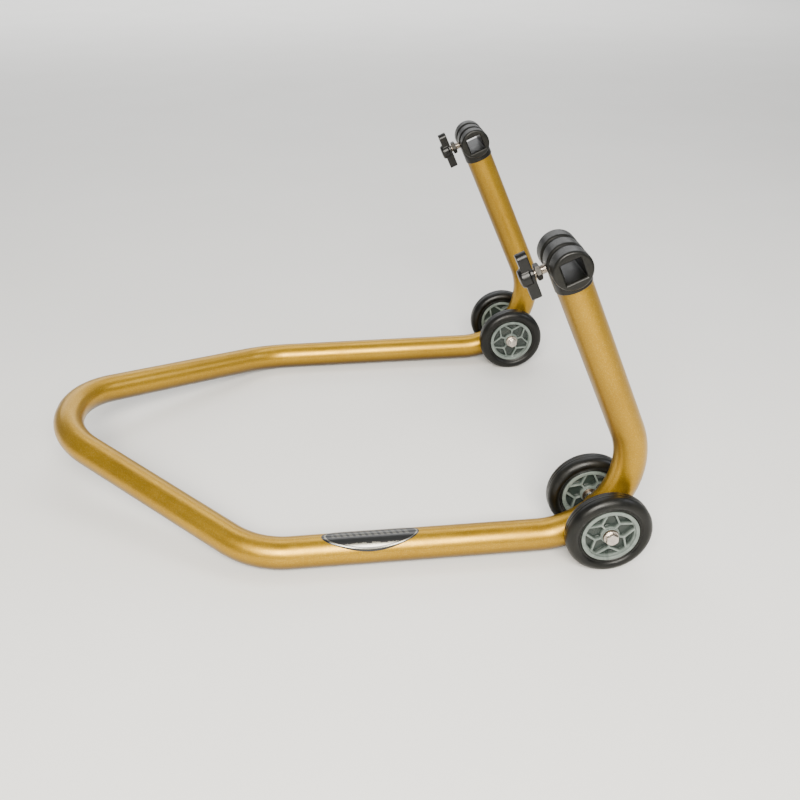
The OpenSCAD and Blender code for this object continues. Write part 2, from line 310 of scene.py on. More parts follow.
def metallicGoldPowderCoat():
    # Metallic powder coat: warm body, tiny bright flakes, a clear top layer with orange peel
    material, tree, place = newMaterial("metallicGoldPowderCoat")
    clouds = noise(tree, place, 14.0, 5.0)
    body = mixed(tree, clouds, goldPaint["deep"], goldPaint["base"])
    # Flakes are really 0.05 mm across and are drawn larger so that they show
    flakes = addNode(tree, "ShaderNodeTexVoronoi", inputs={
        "Vector": place, "Scale": 1 / goldPaint["flakeSize"],
    })
    sparkle = mapped(tree, flakes.outputs["Color"], 0.55, 1.0, 0.0, 0.32)
    colour = mixed(tree, sparkle, body, goldPaint["light"])
    # Low places near the floor are scuffed down to a duller, darker coat
    parts = addNode(tree, "ShaderNodeSeparateXYZ", inputs={"Vector": place})
    low = mapped(tree, parts.outputs["Z"], 0.0, 0.007, 1.0, 0.0)
    scrapes = noise(tree, place, 260.0, 3.0)
    rubbed = addNode(tree, "ShaderNodeMath", {"operation": "MULTIPLY"}, {
        0: low, 1: scrapes,
    })
    worn = mixed(tree, rubbed.outputs["Value"], colour, goldPaint["scuffed"])
    # Painted shade: surfaces facing down are darkened towards a dark brown, as if the underside lay in shadow
    facing = addNode(tree, "ShaderNodeSeparateXYZ", inputs={
        "Vector": addNode(tree, "ShaderNodeNewGeometry").outputs["Normal"],
    })
    under = mapped(tree, facing.outputs["Z"], 0.1, -0.6, 0.0, 0.9)
    shadedUnderside = mixed(tree, under, worn, goldPaint["grime"])
    haze = noise(tree, place, 45.0, 4.0)
    rough = mapped(tree, haze, 0.3, 0.7, goldPaint["roughness"] - 0.04, goldPaint["roughness"] + 0.06)
    peel = noise(tree, place, 1 / goldPaint["peelSize"])
    peelBump = bumped(tree, peel, 0.25, 0.00012)
    flakeBump = addNode(tree, "ShaderNodeBump", inputs={
        "Height": flakes.outputs["Distance"], "Strength": 0.06, "Distance": 0.00008,
        "Normal": peelBump,
    })
    shader = addNode(tree, "ShaderNodeBsdfPrincipled", inputs={
        "Base Color": shadedUnderside, "Metallic": goldPaint["metallic"],
        "Roughness": rough, "Coat Weight": goldPaint["coat"],
        "Coat Roughness": goldPaint["coatRoughness"], "Normal": flakeBump.outputs["Normal"],
        "Coat Normal": peelBump,
    })
    finishMaterial(tree, shader)
    return material


rubberLook = {"base": "070705", "dusty": "16160f"}


def mouldedRubber():
    # Vulcanised rubber: nearly black with an olive cast, greyer where dust stays in the grain
    material, tree, place = newMaterial("mouldedTyreRubber")
    dust = noise(tree, place, 60.0, 6.0)
    dusty = mapped(tree, dust, 0.42, 0.75, 0.0, 0.5)
    colour = mixed(tree, dusty, rubberLook["base"], rubberLook["dusty"])
    grain = noise(tree, place, 1600.0)
    bump = bumped(tree, grain, 0.35, 0.00015)
    rough = mapped(tree, dust, 0.3, 0.7, 0.28, 0.46)
    shader = addNode(tree, "ShaderNodeBsdfPrincipled", inputs={
        "Base Color": colour, "Roughness": rough,
        "Specular IOR Level": 0.3, "Normal": bump,
    })
    finishMaterial(tree, shader)
    return material


def mouldedPlastic(name, base, pale, roughness, grainSize, grainDepth, coat, hollow=None):
    # Injection moulded part: faint flow marks in the colour and a spark-eroded grain. With a
    # hollow colour, the mesh's raised attribute darkens the pocket floors against the ribs: painted shade of
    # the recesses, with some grime.
    material, tree, place = newMaterial(name)
    flow = addNode(tree, "ShaderNodeTexNoise", inputs={
        "Vector": place, "Scale": 55.0, "Detail": 4.0, "Distortion": 1.2,
    })
    spread = mapped(tree, flow.outputs["Fac"], 0.35, 0.7, 0.0, 1.0)
    colour = mixed(tree, spread, base, pale)
    paint = colour
    if hollow:
        raised = addNode(tree, "ShaderNodeAttribute", {"attribute_name": "raised"})
        paint = mixed(tree, raised.outputs["Fac"], hollow, paint)
    grain = noise(tree, place, 1 / grainSize)
    bump = bumped(tree, grain, 0.4, grainDepth)
    rough = mapped(tree, flow.outputs["Fac"], 0.3, 0.7, roughness - 0.04, roughness + 0.07)
    shader = addNode(tree, "ShaderNodeBsdfPrincipled", inputs={
        "Base Color": paint, "Roughness": rough, "Specular IOR Level": 0.28,
        "Coat Weight": coat, "Coat Roughness": 0.1, "Normal": bump,
    })
    finishMaterial(tree, shader)
    return material


def finishedMetal(name, base, stained, roughness, grainSize, stretch):
    # Bare or plated metal: fine scratches drawn out one way, and stains that dull it in patches
    material, tree, place = newMaterial(name)
    stains = noise(tree, place, 150.0, 5.0)
    patch = mapped(tree, stains, 0.45, 0.75, 0.0, 0.8)
    colour = mixed(tree, patch, base, stained)
    drawn = addNode(tree, "ShaderNodeMapping", inputs={"Vector": place, "Scale": stretch})
    scratches = addNode(tree, "ShaderNodeTexNoise", inputs={
        "Vector": drawn.outputs["Vector"], "Scale": 1 / grainSize, "Detail": 2.0,
    })
    rough = mapped(tree, scratches.outputs["Fac"], 0.3, 0.7, roughness - 0.06, roughness + 0.1)
    bump = bumped(tree, scratches.outputs["Fac"], 0.25, 0.00005)
    shader = addNode(tree, "ShaderNodeBsdfPrincipled", inputs={
        "Base Color": colour, "Metallic": 1.0,
        "Roughness": rough, "Normal": bump,
    })
    finishMaterial(tree, shader)
    return material


gold = metallicGoldPowderCoat()
rubber = mouldedRubber()
# The last colour darkens the hub's pocket floors: painted shade of the recesses, with some grime
hubNylon = mouldedPlastic("greyMouldedNylon", "5c6560", "757e78", 0.28, 0.5 * mm, 0.00008, 0.3, "252d29")
headNylon = mouldedPlastic("blackGlassFilledNylon", "070705", "12120d", 0.34, 0.45 * mm, 0.0001, 0.0)
knobPlastic = mouldedPlastic("blackPolishedPhenolic", "040404", "0b0b09", 0.32, 0.8 * mm, 0.00003, 0.08)
zinc = finishedMetal("zincPlatedSteel", "cbc3b9", "9b9289", 0.27, 0.4 * mm, (1, 1, 1))
blackSteel = finishedMetal("blackOxideSteel", "2b2a28", "1a1918", 0.34, 0.4 * mm, (1, 1, 1))
turnedAluminium = finishedMetal("turnedAluminium", "cfd0d1", "b2b3b4", 0.24, 0.25 * mm, (0.15, 4, 0.15))
groundSteel = finishedMetal("groundSteelSleeve", "a3a3a2", "84827e", 0.22, 0.25 * mm, (0.15, 4, 0.15))
bronze = finishedMetal("oiledSinteredBronze", "75685a", "4f463b", 0.42, 0.3 * mm, (1, 1, 1))
brass = finishedMetal("turnedBrass", "c49a4a", "94733a", 0.27, 0.3 * mm, (1, 1, 1))
print("materials are ready")


tubeForm = {
    "diameter": 38 * mm, "wall": 2.5 * mm, "lean": 24.0,
    "wheelBend": 100 * mm, "handleBend": 109 * mm, "noseBend": 103 * mm,
    "railLength": 399 * mm, "railRearHeight": 19.1 * mm,
    "noseHeight": 75 * mm, "noseWidth": 104 * mm,
    "uprightLength": 374 * mm, "collarDrop": 30 * mm,
    "aroundTube": 96, "perBend": 44,
}

outerSpin, innerSpin = joints["left_outer_wheel_spin"], joints["left_inner_wheel_spin"]
axleX, axleZ = outerSpin["pos_m"][0], outerSpin["pos_m"][2]
sideY = (outerSpin["pos_m"][1] + innerSpin["pos_m"][1]) / 2
wheelOffset = (outerSpin["pos_m"][1] - innerSpin["pos_m"][1]) / 2
tubeRadius = tubeForm["diameter"] / 2
leanAngle = math.radians(tubeForm["lean"])
upAlongUpright = Vector((-math.sin(leanAngle), 0, math.cos(leanAngle)))


def sideCorners(side):
    # Corners of the centre line from the open end to the handle nose, as in the frame tube
    bend = tubeForm["wheelBend"]
    railFront = axleZ + bend * (math.sin(math.radians(45)) - 1)
    cornerReach = bend * math.tan(math.radians(90 + tubeForm["lean"]) / 2)
    footX = axleX - bend * math.cos(math.radians(45)) + cornerReach
    foot = Vector((footX, side * sideY, railFront))
    top = foot + upAlongUpright * (tubeForm["uprightLength"] - tubeForm["collarDrop"])
    corner = Vector((axleX - tubeForm["railLength"], side * sideY, tubeForm["railRearHeight"]))
    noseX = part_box("frame_tube")[0].x + tubeRadius
    return [top, foot, corner, Vector((noseX, side * tubeForm["noseWidth"] / 2, tubeForm["noseHeight"]))]


def tubeTree():
    # Rounds the corners of the centre line and sweeps a circle along it
    tree = bpy.data.node_groups.new("bentTube", "GeometryNodeTree")
    sockets = {}
    for name, kind, value in (
        ("Centre Line", "NodeSocketGeometry", None), ("Diameter", "NodeSocketFloat", tubeForm["diameter"]),
        ("Around", "NodeSocketInt", tubeForm["aroundTube"]),
        ("Per Bend", "NodeSocketInt", tubeForm["perBend"]),
        ("Paint", "NodeSocketMaterial", None),
    ):
        socket = tree.interface.new_socket(name, in_out="INPUT", socket_type=kind)
        sockets[name] = socket.identifier
        if value is not None:
            socket.default_value = value
    tree.interface.new_socket("Tube", in_out="OUTPUT", socket_type="NodeSocketGeometry")
    given = addNode(tree, "NodeGroupInput").outputs
    line = addNode(tree, "GeometryNodeMeshToCurve", inputs={"Mesh": given["Centre Line"]})
    radius = addNode(tree, "GeometryNodeInputNamedAttribute", {"data_type": "FLOAT"}, {"Name": "bendRadius"})
    bent = addNode(tree, "GeometryNodeFilletCurve", {"mode": "POLY"}, {
        "Curve": line.outputs["Curve"], "Radius": radius.outputs["Attribute"],
        "Count": given["Per Bend"],
    })
    half = addNode(tree, "ShaderNodeMath", {"operation": "MULTIPLY"}, {0: given["Diameter"], 1: 0.5})
    section = addNode(tree, "GeometryNodeCurvePrimitiveCircle", {"mode": "RADIUS"}, {
        "Resolution": given["Around"], "Radius": half.outputs["Value"],
    })
    swept = addNode(tree, "GeometryNodeCurveToMesh", inputs={
        "Curve": bent.outputs["Curve"], "Profile Curve": section.outputs["Curve"], "Fill Caps": False,
    })
    real = addNode(tree, "GeometryNodeRealizeInstances", inputs={"Geometry": swept.outputs["Mesh"]})
    painted = addNode(tree, "GeometryNodeSetMaterial", inputs={
        "Geometry": real.outputs["Geometry"], "Material": given["Paint"],
    })
    addNode(tree, "NodeGroupOutput", inputs={"Tube": painted.outputs["Geometry"]})
    return tree, sockets


def makeTube():
    near, far = sideCorners(sides["right"]), sideCorners(sides["left"])
    corners = near + far[::-1]
    bends = [0, tubeForm["wheelBend"], tubeForm["handleBend"], tubeForm["noseBend"]]
    line = bpy.data.meshes.new("tubeLine")
    line.from_pydata(corners, [(i, i + 1) for i in range(len(corners) - 1)], [])
    radii = line.attributes.new("bendRadius", "FLOAT", "POINT")
    radii.data.foreach_set("value", bends + bends[::-1])
    holder = holderFor(line)
    tree, sockets = tubeTree()
    sweep = holder.modifiers.new("sweep", "NODES")
    sweep.node_group = tree
    sweep[sockets["Diameter"]] = tubeForm["diameter"]
    sweep[sockets["Around"]] = tubeForm["aroundTube"]
    sweep[sockets["Per Bend"]] = tubeForm["perBend"]
    sweep[sockets["Paint"]] = gold
    swept = bakedMesh(holder, "sweptTube")
    # Crossing hole for the welded axle bushes, cut after the wall has its thickness
    holder = holderFor(swept)
    wall = holder.modifiers.new("wall", "SOLIDIFY")
    wall.thickness = tubeForm["wall"]
    wall.offset = -1
    drill = bmesh.new()
    for side in sides.values():
        stretch = Matrix.Translation((axleX, side * sideY, axleZ)) @ Matrix.Rotation(math.radians(90), 4, "X")
        bmesh.ops.create_cone(
            drill, cap_ends=True, segments=48, radius1=axleForm["bushDiameter"] / 2,
            radius2=axleForm["bushDiameter"] / 2, depth=3 * tubeForm["diameter"], matrix=stretch,
        )
    cutter = holderFor(meshFromBmesh("axleDrill", drill))
    hole = holder.modifiers.new("hole", "BOOLEAN")
    hole.operation = "DIFFERENCE"
    hole.solver = "EXACT"
    hole.object = cutter
    tube = bakedMesh(holder, "frameTube")
    bpy.data.objects.remove(cutter)
    smoothAll(tube)
    pieceFromMesh("frameTube", tube, gold, "stand", ["frame_tube"], sharp=40)


axleForm = {
    "boltDiameter": 8 * mm, "flats": 13 * mm, "headHeight": 5.3 * mm, "nutHeight": 6.5 * mm,
    "bushDiameter": 18 * mm, "bushHalf": 21 * mm, "spacerDiameter": 14 * mm,
    "washerDiameter": 17 * mm, "washerThickness": 1.6 * mm, "boltTail": 2 * mm,
    "threadPitch": 1.25 * mm, "threadDepth": 0.65 * mm,
    "weldRadius": 2.1 * mm, "weldRipples": 26, "weldPoints": 208,
}


def threadedRod(shape, radius, start, end, pitch, depth, threadFrom, threadTo, around=40):
    # A rod along local Z whose surface carries a true helical thread between two heights
    step = pitch / 7
    heights = [start]
    while heights[-1] + step < end:
        heights.append(heights[-1] + step)
    heights.append(end)

    def radiusAt(angle, height):
        if not threadFrom <= height <= threadTo:
            return radius
        phase = (height / pitch - angle / (2 * math.pi)) % 1
        groove = max(0.0, 1 - abs(phase - 0.5) / 0.42)
        fade = min(1.0, (height - threadFrom) / pitch, (threadTo - height) / pitch)
        return radius - depth * groove * fade

    rings = []
    for height in heights:
        ring = []
        for k in range(around):
            angle = 2 * math.pi * k / around
            r = radiusAt(angle, height) - (depth * 0.8 if height in (start, end) else 0)
            ring.append(shape.verts.new((r * math.cos(angle), r * math.sin(angle), height)))
        rings.append(ring)
    for low, high in zip(rings, rings[1:]):
        joinRings(shape, low, high)
    shape.faces.new(rings[0][::-1])
    shape.faces.new(rings[-1])


def hexagonInto(shape, flats, low, high, bore=0.0, bevelled="both", around=96):
    # Bolt head or nut: a hexagon whose corners are turned off by a 30 degree cone
    def reach(angle):
        return flats / 2 / math.cos((angle + math.pi / 6) % (math.pi / 3) - math.pi / 6)

    faceRadius = flats / 2 * 0.95
    slope = math.tan(math.radians(30))
    rings = {name: [] for name in ("boreTop", "flatTop", "edgeTop", "edgeLow", "flatLow", "boreLow")}
    for k in range(around):
        angle = 2 * math.pi * k / around
        c, s = math.cos(angle), math.sin(angle)
        r = reach(angle)
        topDrop = (r - faceRadius) * slope
        lowDrop = topDrop if bevelled == "both" else 0.0
        lowRadius = faceRadius if bevelled == "both" else r * 0.985
        for name, radius, height in (
            ("boreTop", bore, high), ("flatTop", faceRadius, high), ("edgeTop", r, high - topDrop),
            ("edgeLow", r, low + lowDrop), ("flatLow", lowRadius, low), ("boreLow", bore, low),
        ):
            if radius > 0 or k == 0:
                rings[name].append(shape.verts.new((radius * c, radius * s, height)))
    order = ["boreTop", "flatTop", "edgeTop", "edgeLow", "flatLow", "boreLow"]
    pairs = list(zip(order, order[1:])) + ([("boreLow", "boreTop")] if bore > 0 else [])
    for upper, lower in pairs:
        joinRings(shape, rings[upper], rings[lower], smooth=False)


def weldTree():
    # A bead swept along its path, with the ripples that each drop of weld leaves
    tree = bpy.data.node_groups.new("weldBead", "GeometryNodeTree")
    sockets = {}
    for name, kind in (
        ("Path", "NodeSocketGeometry"), ("Bead Radius", "NodeSocketFloat"),
        ("Ripple Depth", "NodeSocketFloat"), ("Seed", "NodeSocketInt"), ("Paint", "NodeSocketMaterial"),
    ):
        sockets[name] = tree.interface.new_socket(name, in_out="INPUT", socket_type=kind).identifier
    tree.interface.new_socket("Bead", in_out="OUTPUT", socket_type="NodeSocketGeometry")
    given = addNode(tree, "NodeGroupInput").outputs
    line = addNode(tree, "GeometryNodeMeshToCurve", inputs={"Mesh": given["Path"]})
    phase = addNode(tree, "GeometryNodeInputNamedAttribute", {"data_type": "FLOAT"}, {"Name": "ripple"})
    uneven = addNode(tree, "FunctionNodeRandomValue", {"data_type": "FLOAT"}, {
        2: -0.05, 3: 0.05, "Seed": given["Seed"],
    })
    depth = addNode(tree, "ShaderNodeMath", {"operation": "MULTIPLY"}, {
        0: phase.outputs["Attribute"], 1: given["Ripple Depth"],
    })
    swell = addNode(tree, "ShaderNodeMath", {"operation": "ADD"}, {0: depth.outputs[0], 1: uneven.outputs[1]})
    size = addNode(tree, "ShaderNodeMath", {"operation": "ADD"}, {0: swell.outputs[0], 1: 1.0})
    varied = addNode(tree, "GeometryNodeSetCurveRadius", inputs={
        "Curve": line.outputs["Curve"], "Radius": size.outputs[0],
    })
    section = addNode(tree, "GeometryNodeCurvePrimitiveCircle", {"mode": "RADIUS"}, {
        "Resolution": 12, "Radius": given["Bead Radius"],
    })
    swept = addNode(tree, "GeometryNodeCurveToMesh", inputs={
        "Curve": varied.outputs["Curve"], "Profile Curve": section.outputs["Curve"],
    })
    real = addNode(tree, "GeometryNodeRealizeInstances", inputs={"Geometry": swept.outputs["Mesh"]})
    painted = addNode(tree, "GeometryNodeSetMaterial", inputs={
        "Geometry": real.outputs["Geometry"], "Material": given["Paint"],
    })
    addNode(tree, "NodeGroupOutput", inputs={"Bead": painted.outputs["Geometry"]})
    return tree, sockets


def makeWelds():
    # The bead lies where the bush leaves the bent tube, found by walking in along each direction
    bendCentre = Vector((axleX - tubeForm["wheelBend"] * math.cos(math.radians(45)), 0,
                         axleZ + tubeForm["wheelBend"] * math.sin(math.radians(45))))
    points, edges, ripple = [], [], []
    count = axleForm["weldPoints"]
    for side in sides.values():
        for face in (1, -1):
            first = len(points)
            for k in range(count):
                angle = 2 * math.pi * k / count
                radius = axleForm["bushDiameter"] / 2 + 0.3 * mm
                x = axleX + radius * math.cos(angle)
                z = axleZ + radius * math.sin(angle)
                off = math.hypot(x - bendCentre.x, z - bendCentre.z) - tubeForm["wheelBend"]
                y = math.sqrt(tubeRadius ** 2 - off ** 2)
                points.append((x, side * sideY + face * y, z))
                edges.append((first + k, first + (k + 1) % count))
                drop = (k * axleForm["weldRipples"] / count) % 1
                ripple.append(1 - drop)
    mesh = bpy.data.meshes.new("weldPath")
    mesh.from_pydata(points, edges, [])
    mesh.attributes.new("ripple", "FLOAT", "POINT").data.foreach_set("value", ripple)
    holder = holderFor(mesh)
    tree, sockets = weldTree()
    bead = holder.modifiers.new("bead", "NODES")
    bead.node_group = tree
    bead[sockets["Bead Radius"]] = axleForm["weldRadius"]
    bead[sockets["Ripple Depth"]] = 0.22
    bead[sockets["Seed"]] = 4
    bead[sockets["Paint"]] = gold
    baked = bakedMesh(holder, "axleBushWelds")
    smoothAll(baked)
    pieceFromMesh("axleBushWelds", baked, gold, "stand", sharp=60)


def makeAxles():
    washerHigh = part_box("left_axle_washers")[1].y - sideY
    journalHalf = washerHigh - axleForm["washerThickness"] - wheelOffset
    for name, side in sides.items():
        place = frameMatrix((axleX, side * sideY, axleZ), (0, side, 0), (0, 0, 1))
        headLow, headHigh = washerHigh, washerHigh + axleForm["headHeight"]
        tail = -(washerHigh + axleForm["nutHeight"] + axleForm["boltTail"])
        boltRadius = axleForm["boltDiameter"] / 2

        bolt = bmesh.new()
        hexagonInto(bolt, axleForm["flats"], headLow, headHigh, bevelled="top")
        threadedRod(
            bolt, boltRadius, tail, headLow, axleForm["threadPitch"], axleForm["threadDepth"],
            tail, tail + 22 * mm,
        )
        nut = bmesh.new()
        hexagonInto(nut, axleForm["flats"], -washerHigh - axleForm["nutHeight"], -washerHigh, boltRadius)
        washers = bmesh.new()
        spacers = bmesh.new()
        for end in (1, -1):
            low, high = sorted((end * (washerHigh - axleForm["washerThickness"]), end * washerHigh))
            revolveInto(washers, roundedRing(
                boltRadius + 0.2 * mm, axleForm["washerDiameter"] / 2, low, high, 0.35 * mm), 72)
            low, high = sorted((end * axleForm["bushHalf"], end * (wheelOffset - journalHalf)))
            revolveInto(spacers, roundedRing(
                boltRadius + 0.1 * mm, axleForm["spacerDiameter"] / 2, low, high, 0.5 * mm), 72)
        bush = bmesh.new()
        revolveInto(bush, roundedRing(
            boltRadius + 0.1 * mm, axleForm["bushDiameter"] / 2,
            -axleForm["bushHalf"], axleForm["bushHalf"], 0.6 * mm), 72)
        for shape, node, material, slot in (
            (bolt, "axle_bolt", zinc, "zinc_steel"), (nut, "axle_nut", zinc, "zinc_steel"),
            (washers, "axle_washers", zinc, "zinc_steel"),
            (spacers, "axle_spacers", turnedAluminium, "spacer_aluminium"),
            (bush, "axle_bush", gold, "gold_paint"),
        ):
            shape.transform(place)
            outward(shape)
            mesh = meshFromBmesh(f"{name}_{node}_look", shape)
            pieceFromMesh(mesh.name, mesh, material, "stand", [f"{name}_{node}"], sharp=25)
        for node, material in (("journal_sleeves", groundSteel), ("thread_insert", zinc)):
            keepNode(f"{name}_{node}", material)


makeTube()
makeWelds()
makeAxles()
print("frame tube, welds and axles are made")

wheelForm = {
    "diameter": 100 * mm, "width": 24 * mm, "shoulder": 9 * mm,
    "rimDiameter": 67 * mm, "rimGroove": 0.7 * mm, "rimGrooveDepth": 0.55 * mm,
    "partingRidge": 0.1 * mm,
    "around": 144,
}

hubForm = {
    "width": 20 * mm, "rimInner": 28.9 * mm, "land": 7 * mm, "floor": 2 * mm,
    "bossRadius": 10 * mm, "bossHalf": 9 * mm, "bore": 7.5 * mm,
    "spokes": 5, "ribWidth": 2.2 * mm, "forkAt": 17.5 * mm, "forkAngle": 59.0, "firstSpoke": 56.4,
    "cornerRound": 1.7 * mm, "topRound": 0.45 * mm, "draft": 0.25 * mm, "floorRound": 0.8 * mm,
}


def tyreOutline():
    # Section of the tyre as (radius, height), from the rim over the tread and back through the bore
    half, shoulder = wheelForm["width"] / 2, wheelForm["shoulder"]
    outer, seat = wheelForm["diameter"] / 2, wheelForm["rimDiameter"] / 2
    shoulderRadius, flat = outer - shoulder, half - shoulder
    groove, depth = wheelForm["rimGroove"], wheelForm["rimGrooveDepth"]
    foot = half - 3.2 * mm
    rise = (half - foot) / (shoulderRadius - seat)

    def wall(radius):
        return foot + (radius - seat) * rise

    upper = [(seat, foot - 1.2 * mm), (seat + 0.2 * mm, foot - 0.25 * mm)]
    upper += [(seat + 0.5 * mm, wall(seat + 0.5 * mm))]
    middle = seat + 3.4 * mm
    for step in range(7):
        radius = middle + groove * (step / 3 - 1)
        upper.append((radius, wall(radius) - depth * math.sin(math.pi * step / 6) ** 0.7))
    upper += [(shoulderRadius - 0.8 * mm, wall(shoulderRadius - 0.8 * mm))]
    upper += arc((shoulderRadius, flat), shoulder, 84, 4, 16)
    upper += [(outer - wheelForm["partingRidge"], flat * 0.7), (outer - wheelForm["partingRidge"], 0.28 * mm)]
    upper += [(outer, 0.1 * mm)]
    return upper + [(r, -z) for r, z in reversed(upper)]


def roundedOutline(points, reach, steps=6):
    # Softens each sharp corner of a closed outline with a short curve
    result = []
    count = len(points)
    for i, point in enumerate(points):
        before, after = Vector(points[i - 1]), Vector(points[(i + 1) % count])
        point = Vector(point)
        toBefore, toAfter = before - point, after - point
        if toBefore.angle(toAfter) > math.radians(160):
            result.append(point)
            continue
        a = point + toBefore.normalized() * min(reach, toBefore.length * 0.48)
        b = point + toAfter.normalized() * min(reach, toAfter.length * 0.48)
        for k in range(steps + 1):
            t = k / steps
            result.append(a * (1 - t) ** 2 + point * 2 * t * (1 - t) + b * t ** 2)
    return result


def grownOutline(points, distance):
    # Moves each point outwards, square to the outline, which runs anticlockwise
    result = []
    count = len(points)
    for i, point in enumerate(points):
        edgeIn = (point - points[i - 1]).normalized()
        edgeOut = (points[(i + 1) % count] - point).normalized()
        normal = Vector((edgeIn.y + edgeOut.y, -edgeIn.x - edgeOut.x)).normalized()
        square = Vector((edgeIn.y, -edgeIn.x))
        result.append(point + normal * distance / max(0.5, normal.dot(square)))
    return result


def crossing(pointA, directionA, pointB, directionB):
    spread = directionA.x * directionB.y - directionA.y * directionB.x
    offset = pointB - pointA
    return pointA + directionA * ((offset.x * directionB.y - offset.y * directionB.x) / spread)


def reachCircle(point, direction, radius):
    along = point.dot(direction)
    return point + direction * (-along + math.sqrt(along ** 2 - point.length_squared + radius ** 2))


def circleBetween(start, end, steps):
    # Points strictly between two points of one circle round the origin, the shorter way
    a, b = math.atan2(start.y, start.x), math.atan2(end.y, end.x)
    turn = (b - a + math.pi) % (2 * math.pi) - math.pi
    return [
        Vector((math.cos(a + turn * k / steps), math.sin(a + turn * k / steps))) * start.length
        for k in range(1, steps)
    ]


def hubPockets():
    # The two kinds of pocket: a three sided one inside each fork and a six sided one between spokes
    half = hubForm["ribWidth"] / 2
    inner, outer = hubForm["bossRadius"] + 0.9 * mm, hubForm["rimInner"] - 0.65 * mm
    between = math.pi / hubForm["spokes"]
    fork = math.radians(hubForm["forkAngle"])

    along = Vector((math.cos(fork), math.sin(fork)))
    start = Vector((hubForm["forkAt"], 0)) + Vector((math.sin(fork), -math.cos(fork))) * half
    apex = Vector((hubForm["forkAt"] + half / math.sin(fork), 0))
    high = reachCircle(start, along, outer)
    low = Vector((high.x, -high.y))
    inFork = [apex, low] + circleBetween(low, high, 10) + [high]

    spoke = Vector((math.cos(between), math.sin(between)))
    across = Vector((spoke.y, -spoke.x))
    rib = Vector((math.cos(between - fork), math.sin(between - fork)))
    ribSide = Vector((rib.y, -rib.x))
    root = spoke * math.sqrt(inner ** 2 - half ** 2) + across * half
    corner = crossing(root, spoke, spoke * hubForm["forkAt"] + ribSide * half, rib)
    tip = reachCircle(spoke * hubForm["forkAt"] + ribSide * half, rib, outer)

    def mirrored(p):
        return Vector((p.x, -p.y))

    betweenSpokes = (
        [mirrored(root), mirrored(corner), mirrored(tip)] + circleBetween(mirrored(tip), tip, 4)
        + [tip, corner, root] + circleBetween(root, mirrored(root), 8)
    )
    for i in range(hubForm["spokes"]):
        turn = math.radians(hubForm["firstSpoke"]) + 2 * i * between
        for outline, shift in ((inFork, 0), (betweenSpokes, between)):
            spin = Matrix.Rotation(turn + shift, 2)
            yield roundedOutline([spin @ p for p in outline], hubForm["cornerRound"])


def hubShape():
    # One half is built, then mirrored and joined at the middle plane
    shape = bmesh.new()
    around = wheelForm["around"]
    land, floor = hubForm["land"], hubForm["floor"]
    landInner, landOuter = hubForm["bossRadius"] + 0.35 * mm, hubForm["rimInner"]

    def ring(points, height):
        return [shape.verts.new((p.x, p.y, height)) for p in points]

    def circle(radius, height):
        return ring([
            Vector((math.cos(2 * math.pi * k / around), math.sin(2 * math.pi * k / around))) * radius
            for k in range(around)
        ], height)

    edges = []

    def borderOf(loop):
        for k in range(len(loop)):
            pair = (loop[k], loop[(k + 1) % len(loop)])
            edges.append(shape.edges.get(pair) or shape.edges.new(pair))

    top, draft, bottom = hubForm["topRound"], hubForm["draft"], hubForm["floorRound"]
    for outline in hubPockets():
        steps = [(top * (1 - math.sin(a)), land - top * (1 - math.cos(a)))
                 for a in [math.radians(90 * k / 3) for k in range(4)]]
        steps += [(-draft - bottom * (1 - math.cos(a)), floor + bottom * (1 - math.sin(a)))
                  for a in [math.radians(90 * k / 4) for k in range(5)]]
        loops = [ring(grownOutline(outline, out), height) for out, height in steps]
        borderOf(loops[0])
        for upper, lower in zip(loops, loops[1:]):
            joinRings(shape, upper, lower)
        middle = sum((Vector(v.co) for v in loops[-1]), Vector()) / len(loops[-1])
        centre = shape.verts.new(middle)
        for k in range(len(loops[-1])):
            shape.faces.new((loops[-1][k], loops[-1][(k + 1) % len(loops[-1])], centre))

    halfWidth, rimOuter = hubForm["width"] / 2, wheelForm["rimDiameter"] / 2
    rimProfile = [(landOuter, land)] + [
        (landOuter + 0.35 * mm * (1 - math.cos(a)), land + 0.9 * mm * math.sin(a))
        for a in (math.radians(30), math.radians(60), math.radians(90))
    ] + [(landOuter + 0.5 * mm, halfWidth - 0.7 * mm)]
    rimProfile += arc((landOuter + 1.1 * mm, halfWidth - 0.6 * mm), 0.6 * mm, 170, 90, 3)
    rimProfile += arc((rimOuter - 0.5 * mm, halfWidth - 0.5 * mm), 0.5 * mm, 90, 0, 3) + [(rimOuter, 0)]
    boss, bossHalf = hubForm["bossRadius"], hubForm["bossHalf"]
    bore = hubForm["bore"]
    bossProfile = [(landInner, land), (boss + 0.1 * mm, land + 0.12 * mm), (boss, land + 0.4 * mm)]
    bossProfile += arc((boss - 0.5 * mm, bossHalf - 0.5 * mm), 0.5 * mm, 0, 90, 3)
    bossProfile += [(bore + 0.5 * mm, bossHalf), (bore, bossHalf - 0.5 * mm), (bore, 0)]
    for profile in (rimProfile, bossProfile):
        loops = [circle(radius, height) for radius, height in profile]
        borderOf(loops[0])
        for upper, lower in zip(loops, loops[1:]):
            joinRings(shape, upper, lower)
    bmesh.ops.triangle_fill(shape, edges=edges, use_beauty=True)
    copied = bmesh.ops.duplicate(shape, geom=shape.verts[:] + shape.edges[:] + shape.faces[:])["geom"]
    bmesh.ops.scale(shape, verts=[v for v in copied if isinstance(v, bmesh.types.BMVert)], vec=(1, 1, -1))
    bmesh.ops.remove_doubles(shape, verts=[v for v in shape.verts if abs(v.co.z) < 1e-6], dist=1e-6)
    outward(shape)
    # raised runs from 0 on the pocket floors to 1 on the lands and sets where the painted pocket shade falls
    raised = [min(1.0, max(0.0, (abs(v.co.z) - floor - 0.5 * mm) / (land - floor - mm))) for v in shape.verts]
    return shape, raised


